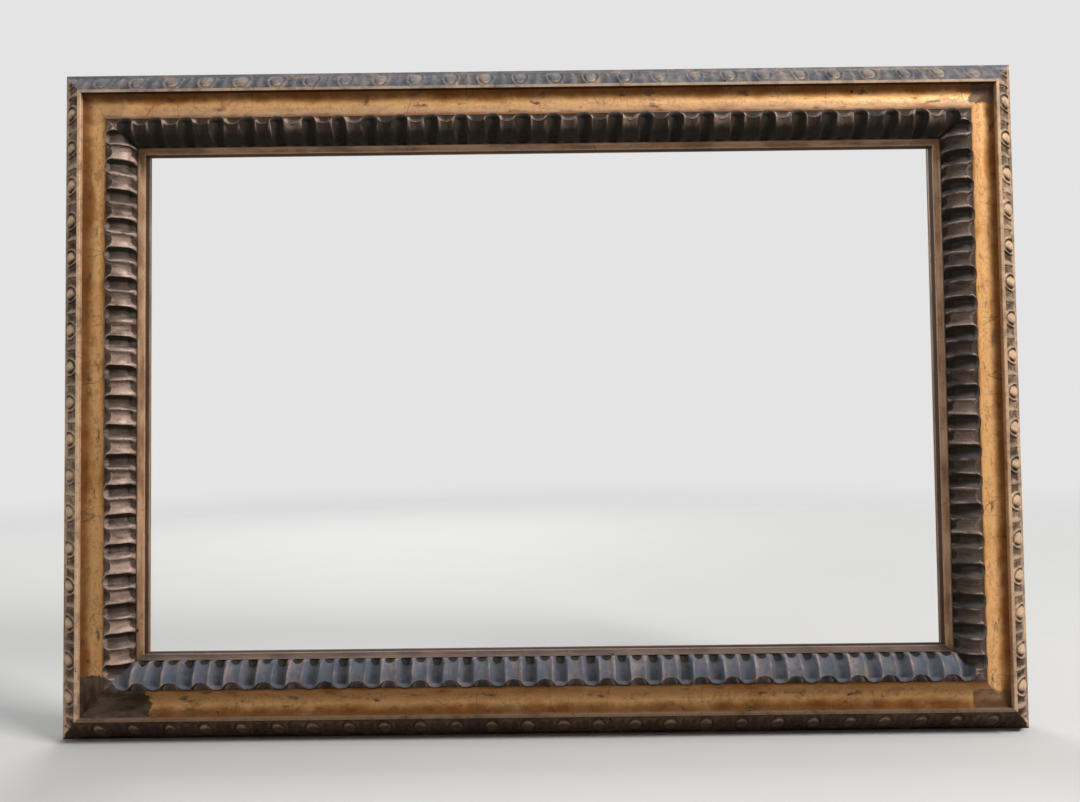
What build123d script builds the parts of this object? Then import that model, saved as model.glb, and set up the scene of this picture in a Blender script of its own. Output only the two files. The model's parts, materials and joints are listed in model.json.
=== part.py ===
"""Large carved and gilded picture frame: four mitred mouldings on a half-lapped back frame.

Millimetres. X runs across the frame, Z up, and the carved front faces -Y. The origin is the
middle of the back's lower edge, so the back lies in the plane y = 0, against the wall.
"""

import math
import os

from build123d import *

os.makedirs("parts", exist_ok=True)

# Picture opening and back frame
rebate_width = 1000.0
rebate_height = 635.0
sight_lip = 7.5
back_thickness = 20.0

# Widths of the four mouldings, from the outer edge to the opening
outer_width = 33.5
cove_width = 35.5
gadroon_width = 32.0
sight_width = 5.0

# Outer carved moulding: heights above the back frame
outer_edge = 2.5
outer_fillet = 3.4
outer_fillet_rise = 1.2
outer_rise = 32.0
ovolo_bulge = 4.0
ridge_width = 4.3
ridge_quirk = 1.6

# Plain hollow between the outer moulding and the gadroons
cove_outer_rise = 26.0
cove_inner_rise = 39.0
cove_depth = 8.0

# Gadrooned moulding: a rounded front cut with two kinds of flute in turn
gadroon_rise = 47.0
gadroon_foot_rise = 30.5
gadroon_nose = 6.5
gadroon_facets = 2
flute_spacing = 36.75
deep_flute_width = 17.5
deep_flute_floor = 8.5
deep_flute_depth = 5.2
shallow_flute_floor = 7.0
shallow_flute_depth = 3.0
arris_overlap = 1.0
flute_rim = 2.0
flute_end_length = 7.0
flute_end_share = 0.36
flute_overrun = 8.0
scallop_depth = 4.2
scallop_angle = 40.0

# Sight edge beside the picture
sight_outer_rise = 29.0
sight_edge_rise = 15.0
sight_bead = 1.6
sight_hollow = 1.2

# Eight-sided wooden pegs through the half-lapped corners
peg_diameter = 10.0
peg_sides = 8
peg_inset = 30.0
peg_clearance = 0.05

# Square forged nails that hold the mouldings from behind
nail_side = 3.0
nail_head_side = 7.0
nail_head_thickness = 1.6
nail_grip = 15.0
nail_spacing = 300.0
nail_margin = 40.0
nail_clearance = 0.1

# Round-headed wood screws, drawn with few sides, as are the holes that they pass
screw_diameter = 3.5
screw_length = 15.0
screw_head_diameter = 7.2
screw_head_height = 2.4
screw_head_slope = 30.0
screw_sides = 12
screw_clearance = 0.05

# Brass turn buttons that hold the picture in its rebate
button_reach = 24.0
button_tail = 7.0
button_width = 12.0
button_thickness = 2.0
button_setback = 10.0
button_play = 0.1
button_spacing_across = 560.0
button_spacing_up = 300.0

# Strap hangers with loose rings
hanger_inset = 53.5
hanger_height = 620.0
strap_width = 12.0
strap_length = 50.0
strap_thickness = 1.6
strap_screw_first = 28.0
strap_screw_second = 42.0
strap_corner = 4.0
strap_eye_sides = 12
ring_wire = 3.2
ring_wire_sides = 8
ring_width = 22.0
ring_drop = 20.0
ring_bends = 8
ring_play = 0.3

# Worked out from the sizes above
face_width = outer_width + cove_width + gadroon_width + sight_width
back_width = face_width - sight_lip
frame_width = rebate_width + 2 * back_width
frame_height = rebate_height + 2 * back_width
cove_start = outer_width
gadroon_start = cove_start + cove_width
sight_start = gadroon_start + gadroon_width
lap_thickness = back_thickness / 2

# The gadroon's front follows an arc that lies level at the crest and ends at the foot
crest_y = gadroon_start + gadroon_nose
crest_z = back_thickness + gadroon_rise
ovolo_reach = gadroon_width - gadroon_nose
ovolo_drop = gadroon_rise - gadroon_foot_rise
ovolo_radius = (ovolo_reach**2 + ovolo_drop**2) / (2 * ovolo_drop)
ovolo_sweep = math.degrees(math.atan2(ovolo_reach, ovolo_radius - ovolo_drop))
ovolo_axis_z = crest_z - ovolo_radius
facet_angles = [ovolo_sweep * i / gadroon_facets for i in range(gadroon_facets + 1)]

# Each side has a bench frame: x along the member, y in from the outer edge, z forward
side_planes = {
    "bottom": Plane(origin=(0, 0, 0), x_dir=(1, 0, 0), z_dir=(0, -1, 0)),
    "top": Plane(origin=(0, 0, frame_height), x_dir=(-1, 0, 0), z_dir=(0, -1, 0)),
    "left": Plane(origin=(-frame_width / 2, 0, frame_height / 2), x_dir=(0, 0, -1), z_dir=(0, -1, 0)),
    "right": Plane(origin=(frame_width / 2, 0, frame_height / 2), x_dir=(0, 0, 1), z_dir=(0, -1, 0)),
}
side_lengths = {"bottom": frame_width, "top": frame_width, "left": frame_height, "right": frame_height}


def back_plane(x, z, x_dir=(1, 0, 0)):
    """Plane on the back of the frame, with its normal pointing out behind."""
    return Plane(origin=(x, 0, z), x_dir=x_dir, z_dir=(0, 1, 0))


def write(piece, name):
    """Label a finished piece and export it."""
    piece.part.label = name
    export_step(piece.part, f"parts/{name}.step")


def mitre(length):
    """Cut both ends of the stick on the bench at 45 degrees."""
    for end in (-1, 1):
        split(bisect_by=Plane(origin=(end * length / 2, 0, 0), z_dir=(end, 1, 0)), keep=Keep.BOTTOM)


def nail_points(length, row):
    """Nails along one row, clear of the corner laps."""
    run = length - 2 * back_width - 2 * nail_margin
    gaps = max(1, round(run / nail_spacing))
    return [(run * (i / gaps - 0.5), row) for i in range(gaps + 1)]


outer_nail_row = outer_width / 2
gadroon_nail_row = (crest_y + min(sight_start, back_width)) / 2


def nail_sockets(points):
    """Sketch of square nail holes, for use on a stick's back."""
    with BuildSketch(Plane.XY.offset(back_thickness)) as sockets:
        with Locations(*points):
            Rectangle(nail_side + 2 * nail_clearance, nail_side + 2 * nail_clearance)
    return sockets.sketch


def outer_moulding(length):
    """Carved ovolo between an outer fillet and a raised inner ridge."""
    base = back_thickness
    ridge_start = outer_width - ridge_width
    band_start = (outer_fillet, base + outer_edge + outer_fillet_rise)
    band_end = (ridge_start, base + outer_rise - ridge_quirk)
    with BuildPart() as stick:
        with BuildSketch(Plane.YZ):
            with BuildLine():
                Polyline((outer_width, base), (0, base), (0, base + outer_edge), band_start)
                SagittaArc(band_start, band_end, ovolo_bulge)
                Polyline(
                    band_end,
                    (ridge_start, base + outer_rise),
                    (outer_width, base + outer_rise),
                    (outer_width, base),
                )
            make_face()
        extrude(amount=length / 2, both=True)
        extrude(nail_sockets(nail_points(length, outer_nail_row)), amount=nail_grip, mode=Mode.SUBTRACT)
        mitre(length)
    return stick


def cove_moulding(length):
    """Plain hollow moulding that rises towards the gadroons."""
    outer_lip = (cove_start, back_thickness + cove_outer_rise)
    inner_lip = (gadroon_start, back_thickness + cove_inner_rise)
    with BuildPart() as stick:
        with BuildSketch(Plane.YZ):
            with BuildLine():
                Polyline(
                    inner_lip,
                    (gadroon_start, back_thickness),
                    (cove_start, back_thickness),
                    outer_lip,
                )
                SagittaArc(outer_lip, inner_lip, -cove_depth)
            make_face()
        extrude(amount=length / 2, both=True)
        mitre(length)
    return stick


def ovolo_angle(inset):
    """Angle past the crest at this distance in from the gadroon's outer face."""
    return math.degrees(math.asin((inset - gadroon_nose) / ovolo_radius))


def ovolo_point(angle):
    """Point of the gadroon's section on the ovolo, at this angle past the crest."""
    turn = math.radians(angle)
    return (crest_y + ovolo_radius * math.sin(turn), ovolo_axis_z + ovolo_radius * math.cos(turn))


def radial_plane(angle, push=0, facet_angle=0):
    """Plane out through the front, square to the ovolo at one angle, pushed along a facet."""
    turn = math.radians(angle)
    slope = math.radians(facet_angle)
    return Plane(
        origin=(0, crest_y + push * math.cos(slope), ovolo_axis_z - push * math.sin(slope)),
        x_dir=(1, 0, 0),
        z_dir=(0, -math.cos(turn), math.sin(turn)),
    )


def flute_cutter(sections):
    """Gouge cut lofted through sections of (plane, width, floor, depth) down the ovolo."""
    with BuildPart() as cutter:
        for plane, width, floor, depth in sections:
            with BuildSketch(plane):
                with BuildLine():
                    Polyline(
                        (-width, ovolo_radius + depth),
                        (-width / 2, ovolo_radius),
                        (-floor / 2, ovolo_radius - depth),
                        (floor / 2, ovolo_radius - depth),
                        (width / 2, ovolo_radius),
                        (width, ovolo_radius + depth),
                        close=True,
                    )
                make_face()
        loft(ruled=True)
    return cutter


def gadroon_moulding(length):
    """Rounded moulding carved with deep and shallow flutes in turn."""
    crest_length = length - 2 * crest_y
    count = round(crest_length / flute_spacing)
    pitch = crest_length / count
    shallow_flute_width = pitch - deep_flute_width + arris_overlap
    half_facet = facet_angles[1] / 2
    run_in = radial_plane(0, -flute_overrun, half_facet)
    run_out = radial_plane(ovolo_sweep, flute_overrun, ovolo_sweep - half_facet)
    lower_planes = [*[radial_plane(angle) for angle in facet_angles[1:-1]], run_out]

    # The deep flute shrinks and rises to a narrow end, one rim inside the outer face
    deep_full = (deep_flute_width, deep_flute_floor, deep_flute_depth)
    deep_end = [flute_end_share * size for size in deep_full]
    full_angle = ovolo_angle(flute_rim + flute_end_length)
    end_plane = radial_plane(full_angle, -flute_end_length, full_angle)
    deep_planes = [radial_plane(full_angle), *lower_planes]
    deep_flute = flute_cutter([(end_plane, *deep_end), *[(plane, *deep_full) for plane in deep_planes]])

    # The shallow flute runs out over the nose, where the edge is scalloped
    shallow_full = (shallow_flute_width, shallow_flute_floor, shallow_flute_depth)
    shallow_flute = flute_cutter([(plane, *shallow_full) for plane in (run_in, *lower_planes)])

    deep_points = [((i + 0.5) * pitch - crest_length / 2, 0) for i in range(count)]
    shallow_points = [(i * pitch - crest_length / 2, 0) for i in range(count + 1)]
    scallop_points = [(x, gadroon_start) for x, y in shallow_points]
    scallop_align = (Align.CENTER, Align.MIN)
    nose_turn = gadroon_nose * (1 - math.sqrt(0.5))
    with BuildPart() as stick:
        with BuildSketch(Plane.YZ):
            with BuildLine():
                Polyline(
                    (sight_start, back_thickness),
                    (gadroon_start, back_thickness),
                    (gadroon_start, crest_z - gadroon_nose),
                    (gadroon_start + nose_turn, crest_z - nose_turn),
                    *[ovolo_point(angle) for angle in facet_angles],
                    close=True,
                )
            make_face()
        extrude(amount=length / 2, both=True)
        with Locations(*deep_points):
            add(deep_flute.part, mode=Mode.SUBTRACT)
        with Locations(*shallow_points):
            add(shallow_flute.part, mode=Mode.SUBTRACT)
        with BuildSketch(Plane.XY.offset(back_thickness + cove_inner_rise)):
            with Locations(*scallop_points):
                Trapezoid(shallow_flute_width, scallop_depth, scallop_angle, align=scallop_align)
        extrude(amount=gadroon_rise, mode=Mode.SUBTRACT)
        extrude(nail_sockets(nail_points(length, gadroon_nail_row)), amount=nail_grip, mode=Mode.SUBTRACT)
        mitre(length)
    return stick


def sight_moulding(length):
    """Narrow hollow and bead beside the picture."""
    inner = sight_start + sight_width
    top = (sight_start, back_thickness + sight_outer_rise)
    bead = (inner - sight_bead, back_thickness + sight_edge_rise)
    with BuildPart() as stick:
        with BuildSketch(Plane.YZ):
            with BuildLine():
                Line((sight_start, back_thickness), top)
                SagittaArc(top, bead, -sight_hollow)
                RadiusArc(bead, (inner, back_thickness + sight_edge_rise - sight_bead), sight_bead)
                Polyline(
                    (inner, back_thickness + sight_edge_rise - sight_bead),
                    (inner, back_thickness),
                    (sight_start, back_thickness),
                )
            make_face()
        extrude(amount=length / 2, both=True)
        mitre(length)
    return stick


def peg_points(length):
    """Pegs on the mitre line of both corners of a member."""
    insets = (peg_inset, back_width - peg_inset)
    return [(end * (length / 2 - inset), inset) for end in (-1, 1) for inset in insets]


def back_member(length, lap_side):
    """Plain board with half-lapped ends, peg holes and nail holes."""
    lap_z = 0 if lap_side == "back" else lap_thickness
    nails = nail_points(length, outer_nail_row) + nail_points(length, gadroon_nail_row)
    hole = nail_side + 2 * nail_clearance
    head = nail_head_side + 2 * nail_clearance
    with BuildPart() as board:
        with BuildSketch(Plane.XY):
            Rectangle(length, back_width, align=(Align.CENTER, Align.MIN))
        extrude(amount=back_thickness)
        with BuildSketch(Plane.XY.offset(lap_z)):
            for end in (-1, 1):
                with Locations((end * (length - back_width) / 2, 0)):
                    Rectangle(back_width, back_width, align=(Align.CENTER, Align.MIN))
        extrude(amount=lap_thickness, mode=Mode.SUBTRACT)
        with BuildSketch(Plane.XY):
            with Locations(*peg_points(length)):
                RegularPolygon(peg_diameter / 2 + peg_clearance, peg_sides)
            with Locations(*nails):
                Rectangle(hole, hole)
        extrude(amount=back_thickness, mode=Mode.SUBTRACT)
        with BuildSketch(Plane.XY):
            with Locations(*nails):
                Rectangle(head, head)
        extrude(amount=nail_head_thickness, mode=Mode.SUBTRACT)
    return board


# Seats of the turn buttons on the back, with x along the parked button
rebate_x = rebate_width / 2 + button_setback
rebate_low = back_width - button_setback
rebate_high = frame_height - back_width + button_setback
button_seats = {}
for end, word in ((-1, "left"), (1, "right")):
    across = end * button_spacing_across / 2
    button_seats[f"top_{word}"] = back_plane(across, rebate_high, (end, 0, 0))
    button_seats[f"bottom_{word}"] = back_plane(across, rebate_low, (end, 0, 0))
for end, word in ((-1, "lower"), (1, "upper")):
    up = frame_height / 2 + end * button_spacing_up / 2
    button_seats[f"left_{word}"] = back_plane(-rebate_x, up, (0, 0, -1))
    button_seats[f"right_{word}"] = back_plane(rebate_x, up, (0, 0, -1))

# Seats of the strap hangers, with y down the strap
hanger_x = frame_width / 2 - hanger_inset
hanger_seats = {"left": back_plane(-hanger_x, hanger_height), "right": back_plane(hanger_x, hanger_height)}


def hanger_screw_planes(seat):
    """Planes of the two screws of one strap."""
    return [
        Plane(origin=seat.from_local_coords((0, y, 0)), x_dir=seat.x_dir, z_dir=seat.z_dir)
        for y in (strap_screw_first, strap_screw_second)
    ]


# Back frame: the rails lap in front of the stiles
long_board = back_member(frame_width, "back")
short_board = back_member(frame_height, "front")
for side, plane in side_planes.items():
    is_stile = side in ("left", "right")
    seats = [seat for name, seat in button_seats.items() if name.startswith(side)]
    if is_stile:
        seats += hanger_screw_planes(hanger_seats[side])
    with BuildPart() as board:
        with Locations(plane):
            add(short_board.part if is_stile else long_board.part)
        with BuildSketch(*seats):
            RegularPolygon(screw_diameter / 2 + screw_clearance, screw_sides)
        extrude(amount=-screw_length, mode=Mode.SUBTRACT)
    write(board, f"back_{'stile' if is_stile else 'rail'}_{side}")

# Four mitred mouldings on each side
mouldings = {
    "outer_moulding": outer_moulding,
    "cove_moulding": cove_moulding,
    "gadroon_moulding": gadroon_moulding,
    "sight_moulding": sight_moulding,
}
for kind, make in mouldings.items():
    sticks = {length: make(length) for length in (frame_width, frame_height)}
    for side, plane in side_planes.items():
        with BuildPart(plane) as member:
            add(sticks[side_lengths[side]].part)
        write(member, f"{kind}_{side}")

# Pegs through the corner laps
with BuildPart() as lap_pegs:
    for side in ("top", "bottom"):
        with BuildSketch(side_planes[side]):
            with Locations(*peg_points(frame_width)):
                RegularPolygon(peg_diameter / 2, peg_sides)
    extrude(amount=back_thickness)
write(lap_pegs, "lap_pegs")

# Nails from the back into the outer and gadroon mouldings
with BuildPart() as moulding_nails:
    for side, plane in side_planes.items():
        length = side_lengths[side]
        with BuildSketch(plane):
            with Locations(*nail_points(length, outer_nail_row), *nail_points(length, gadroon_nail_row)):
                Rectangle(nail_head_side, nail_head_side)
    extrude(amount=nail_head_thickness)
    for side, plane in side_planes.items():
        length = side_lengths[side]
        with BuildSketch(plane):
            with Locations(*nail_points(length, outer_nail_row), *nail_points(length, gadroon_nail_row)):
                Rectangle(nail_side, nail_side)
    extrude(amount=back_thickness + nail_grip)
write(moulding_nails, "moulding_nails")


def wood_screw(grip):
    """Screw that clamps a plate of this thickness, with its head towards +z."""
    with BuildPart() as screw:
        with BuildSketch(Plane.XY.offset(grip)):
            RegularPolygon(screw_diameter / 2, screw_sides)
        extrude(amount=-screw_length - grip)
        with BuildSketch(Plane.XY.offset(grip)):
            RegularPolygon(screw_head_diameter / 2, screw_sides)
        extrude(amount=screw_head_height, taper=screw_head_slope)
    return screw


# Turn buttons on their screws
button_gap = button_thickness + 2 * button_play
button_bore = screw_diameter + 2 * button_play
button_screw = wood_screw(button_gap)
with BuildPart() as button_blank:
    with BuildSketch(Plane.XY.offset(button_play)):
        with Locations((button_width / 2 - button_tail, 0), (button_reach - button_width / 2, 0)):
            RegularPolygon(button_width / 2, screw_sides)
        make_hull()
        RegularPolygon(button_bore / 2, screw_sides, major_radius=False, mode=Mode.SUBTRACT)
    extrude(amount=button_thickness)
for name, seat in button_seats.items():
    with BuildPart(seat) as turn_button:
        add(button_blank.part)
    write(turn_button, f"turn_button_{name}")
with BuildPart(*button_seats.values()) as turn_button_screws:
    add(button_screw.part)
write(turn_button_screws, "turn_button_screws")

# Strap hangers: a strip rolled round the bar of a loose ring
eye_bore = ring_wire + 2 * ring_play
bar_height = eye_bore / 2 + strap_thickness
with BuildPart() as strap_blank:
    with BuildSketch(Plane.YZ):
        Rectangle(strap_length, strap_thickness, align=(Align.MIN, Align.MIN))
        with Locations((0, bar_height)):
            RegularPolygon(bar_height, strap_eye_sides)
            RegularPolygon(eye_bore / 2, strap_eye_sides, major_radius=False, mode=Mode.SUBTRACT)
    extrude(amount=strap_width / 2, both=True)
    chamfer(strap_blank.edges().filter_by(Axis.Z).sort_by(Axis.Y)[-2:], strap_corner)
    with BuildSketch(Plane.XY):
        with Locations((0, strap_screw_first), (0, strap_screw_second)):
            RegularPolygon(screw_diameter / 2 + screw_clearance, screw_sides)
    extrude(amount=strap_thickness, mode=Mode.SUBTRACT)

# The ring is a straight bar with a bow bent from the same wire
bow_turns = [math.pi * i / ring_bends for i in range(ring_bends + 1)]
with BuildPart() as ring_blank:
    with BuildLine(Plane.XY.offset(bar_height)) as ring_path:
        Polyline(
            (0, 0),
            *[(ring_width / 2 * math.cos(turn), ring_drop * math.sin(turn)) for turn in bow_turns],
            close=True,
        )
    with BuildSketch(Plane(origin=ring_path.line @ 0, z_dir=ring_path.line % 0)):
        RegularPolygon(ring_wire / 2, ring_wire_sides)
    sweep(transition=Transition.RIGHT)
for side, seat in hanger_seats.items():
    with BuildPart(seat) as hanger_strap:
        add(strap_blank.part)
    write(hanger_strap, f"hanger_strap_{side}")
    with BuildPart(seat) as hanger_ring:
        add(ring_blank.part)
    write(hanger_ring, f"hanger_ring_{side}")
hanger_screw = wood_screw(strap_thickness)
screw_planes = [plane for seat in hanger_seats.values() for plane in hanger_screw_planes(seat)]
with BuildPart(*screw_planes) as hanger_screws:
    add(hanger_screw.part)
write(hanger_screws, "hanger_screws")
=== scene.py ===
"""Dressed scene of a large carved and gilded picture frame, standing empty on a pale floor.

Sizes are in millimetres, as a carver would give them, and are turned into metres where a mesh is made.
A point of a moulding has x along its member, w in from the frame's outer edge and d out from the wall.
"""

import json
import math

import bmesh
import bpy
import numpy as np
from mathutils import Matrix, Vector


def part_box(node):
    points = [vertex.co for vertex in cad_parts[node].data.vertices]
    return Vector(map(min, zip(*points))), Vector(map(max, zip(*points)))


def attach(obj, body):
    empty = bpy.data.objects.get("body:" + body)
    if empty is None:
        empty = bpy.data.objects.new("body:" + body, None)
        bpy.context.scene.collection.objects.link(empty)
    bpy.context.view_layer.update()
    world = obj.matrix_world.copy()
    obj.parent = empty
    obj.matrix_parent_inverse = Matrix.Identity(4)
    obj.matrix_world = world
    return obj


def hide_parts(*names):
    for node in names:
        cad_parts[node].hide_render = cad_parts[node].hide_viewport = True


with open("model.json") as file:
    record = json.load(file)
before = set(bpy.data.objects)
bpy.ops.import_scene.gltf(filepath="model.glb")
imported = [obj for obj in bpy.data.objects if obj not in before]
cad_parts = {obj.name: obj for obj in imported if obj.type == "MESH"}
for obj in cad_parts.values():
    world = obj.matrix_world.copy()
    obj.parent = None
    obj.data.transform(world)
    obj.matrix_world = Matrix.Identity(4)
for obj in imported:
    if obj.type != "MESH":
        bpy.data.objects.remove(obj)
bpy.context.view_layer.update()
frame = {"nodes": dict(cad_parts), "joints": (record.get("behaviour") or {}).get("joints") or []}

MM = 0.001


def node_span(node):
    """Lowest and highest corner of a CAD node, in millimetres."""
    low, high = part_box(node)
    return np.array(low) / MM, np.array(high) / MM


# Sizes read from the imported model
spans = [node_span(f"{kind}_moulding_bottom") for kind in ("outer", "cove", "gadroon", "sight")]
outer_inset, cove_inset, gadroon_inset, sight_inset = (high[2] for low, high in spans)
outer_front, cove_lip, gadroon_front, sight_front = (-low[1] for low, high in spans)
outer_low, outer_high = spans[0]
upright_low, upright_high = node_span("outer_moulding_left")
frame_width = outer_high[0] - outer_low[0]
frame_height = upright_high[2] - upright_low[2]
base_d = -outer_high[1]

# Each side of the frame: its length, the middle of its outer edge, and the ways along and in
sides = {
    "bottom": (frame_width, (0, 0, 0), (1, 0, 0), (0, 0, 1)),
    "top": (frame_width, (0, 0, frame_height), (-1, 0, 0), (0, 0, -1)),
    "left": (frame_height, (-frame_width / 2, 0, frame_height / 2), (0, 0, -1), (1, 0, 0)),
    "right": (frame_height, (frame_width / 2, 0, frame_height / 2), (0, 0, 1), (-1, 0, 0)),
}


# Sections of the four mouldings


def arc(start, end, sagitta, steps):
    """Points on an arc that bulges to the left of the way from start to end."""
    start, end = np.array(start, float), np.array(end, float)
    chord = end - start
    width = np.hypot(*chord)
    ahead = chord / width
    left = np.array([-ahead[1], ahead[0]])
    half = 2 * math.atan(2 * abs(sagitta) / width)
    radius = width / 2 / math.sin(half)
    turn = np.linspace(-half, half, steps + 1)
    rise = math.copysign(1, sagitta) * radius * (np.cos(turn) - math.cos(half))
    return (start + end) / 2 + np.outer(radius * np.sin(turn), ahead) + np.outer(rise, left)


def turned_arc(middle, radius, first, last, steps):
    """Points on an arc between two angles in degrees."""
    turns = np.radians(np.linspace(first, last, steps + 1))
    return np.array(middle) + radius * np.stack([np.cos(turns), np.sin(turns)], axis=1)


def circle(middle, radius, count):
    """So many points round a circle."""
    return turned_arc(middle, radius, 0, 360 - 360 / count, count - 1)


def runs_along(section):
    """Length along a section from its start to each of its points."""
    return np.concatenate([[0], np.cumsum(np.hypot(*np.diff(section, axis=0).T))])


def section_normals(section):
    """Unit normals out of the front of a section."""
    along = np.gradient(section, axis=0)
    along /= np.hypot(along[:, 0], along[:, 1])[:, None]
    return np.stack([-along[:, 1], along[:, 0]], axis=1)


def smooth(value, low, high):
    """Ease from 0 at low to 1 at high."""
    share = np.clip((value - low) / (high - low), 0, 1)
    return share * share * (3 - 2 * share)


def soften(height):
    """Heights eased along the member, so that an arris is rubbed and not a knife edge."""
    eased = height.copy()
    eased[:, 1:-1] = (height[:, :-2] + 2 * height[:, 1:-1] + height[:, 2:]) / 4
    return eased


def grain_wave(x, y, length, seed):
    """Slow uneven waves from a few sines, between about -1 and 1."""
    roll = np.random.default_rng(seed)
    total = 0
    for step in range(4):
        angle = roll.uniform(0, math.tau)
        size = math.tau * (1.0 + 0.7 * step) / length
        shift = roll.uniform(0, math.tau)
        total = total + np.sin(size * (x * math.cos(angle) + y * math.sin(angle)) + shift) / (1 + 0.5 * step)
    return total / 2.2


# Making a mitred member out of a section and its carving

mitre_margin = 10.0
mitre_steps = 40
carved_crease = 38.0
fitting_crease = 40.0
weld_distance = 0.001


def add_object(name, data):
    """New object in the scene."""
    made = bpy.data.objects.new(name, data)
    bpy.context.scene.collection.objects.link(made)
    return made


def quads(*corners):
    """Four-sided faces from four equal grids of point numbers, one for each corner."""
    return np.stack(corners, axis=-1).reshape(-1, 4).tolist()


def build_mesh(name, points, faces, marks=None, crease=carved_crease, merge=False):
    """Object from points in millimetres, with per-point marks for the finish."""
    mesh = bpy.data.meshes.new(name)
    mesh.from_pydata((points * MM).tolist(), [], faces)
    if merge:
        shell = bmesh.new()
        shell.from_mesh(mesh)
        bmesh.ops.remove_doubles(shell, verts=shell.verts, dist=weld_distance * MM)
        bmesh.ops.recalc_face_normals(shell, faces=shell.faces)
        shell.to_mesh(mesh)
        shell.free()
    mesh.validate()
    for name_of_mark, values in (marks or {}).items():
        kept = mesh.attributes.new(name_of_mark, "FLOAT", "POINT")
        kept.data.foreach_set("value", np.asarray(values, np.float32))
    mesh.shade_smooth()
    mesh.set_sharp_from_angle(angle=math.radians(crease))
    mesh.update()
    return add_object(name, mesh)


def member(name, side, section, spacing, carve):
    """Mitred stick: the section drawn along one side, with its front carved.

    carve(x, run, w) gives the height above the section, a shift inwards, a shift along the stick,
    and the marks of hollows and of wear on edges, which also carry painted shade and painted highlights.
    """
    length, origin, along, inward = sides[side]
    normals = section_normals(section)
    run = runs_along(section)[:, None]
    straight = length / 2 - section[:, 0].max() - mitre_margin
    middle = np.linspace(-straight, straight, int(round(2 * straight / spacing)) + 1)
    tail = np.linspace(0, 1, mitre_steps + 1)[1:]
    share = np.concatenate([-tail[::-1], np.zeros(len(middle)), tail])
    anchor = np.concatenate([np.full(len(tail), -straight), middle, np.full(len(tail), straight)])

    def stations(w):
        return anchor + share * (length / 2 - w - straight)

    w0 = section[:, :1]
    height, shift, slide, hollow, wear_and_painted_light = carve(stations(w0), run, w0)
    w = w0 + normals[:, :1] * height + shift
    d = np.minimum(section[:, 1:] + normals[:, 1:] * height, section[:, 1].max())
    back_w = np.array([[section[-1, 0]], [section[0, 0]]]) + np.zeros_like(w[:2])
    w = np.concatenate([w, back_w])
    d = np.concatenate([d, np.full_like(back_w, base_d)])
    x = stations(w)
    x[:-2] += slide * (1 - np.abs(share))
    rows, columns = w.shape
    points = np.array(origin, float) + x[..., None] * np.array(along) + w[..., None] * np.array(inward)
    points = points + d[..., None] * np.array([0, -1, 0])
    number = np.arange(rows * columns).reshape(rows, columns)
    below = np.roll(number, -1, axis=0)
    faces = quads(number[:, :-1], number[:, 1:], below[:, 1:], below[:, :-1])
    faces += [number[::-1, -1].tolist(), number[:, 0].tolist()]

    def with_back(front):
        return np.concatenate([np.broadcast_to(front, height.shape), np.zeros((2, columns))]).ravel()

    marks = {
        "hollow": with_back(hollow),
        "wear_and_painted_light": with_back(wear_and_painted_light),
        "along": (x + frame_width * list(sides).index(side)).ravel() * MM,
        "across": with_back(run) * MM,
    }
    return build_mesh(name, points.reshape(-1, 3), faces, marks)


# Outer moulding: egg and dart on an ovolo between a fillet and a ridge

outer_edge_d = base_d + 2.5
fillet_width = 3.4
fillet_rise = 1.2
ovolo_bulge = 4.0
ridge_width = 4.3
ridge_quirk = 1.6
egg_spacing = 44.0
egg_half_width = 7.5
egg_half_height = 13.5
egg_crown = 3.6
egg_middle = 0.54
egg_blunting = 0.92
egg_fullness = 0.8
egg_sizes = (0.93, 1.07)
egg_drift = 0.9
spare_eggs = 2
ground_depth = 2.7
shell_gap = 1.42
shell_width = 0.23
shell_drop = 0.3
stem_half_width = 1.9
stem_flare = 1.4
stem_height = 0.85
barb_gap = 4.6
barb_slant = 0.09
barb_width = 0.9
barb_height = 0.4
barb_full = 14.0
dart_reach = 24.0
rubbed_low = 0.22
gouge_marks = 0.25

ridge_start = outer_inset - ridge_width
band_start = np.array([fillet_width, outer_edge_d + fillet_rise])
band_end = np.array([ridge_start, outer_front - ridge_quirk])
band_arc = arc(band_start, band_end, ovolo_bulge, 36)
outer_section = np.concatenate([
    [(0, base_d + 0.3), (0, outer_edge_d - 0.4), (0.4, outer_edge_d)],
    band_arc,
    [(ridge_start, outer_front - 0.5), (ridge_start + 0.5, outer_front)],
    [(outer_inset - 0.6, outer_front), (outer_inset, outer_front - 0.6), (outer_inset, base_d + 22)],
])
band_first = 3
band_last = band_first + len(band_arc) - 1


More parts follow.
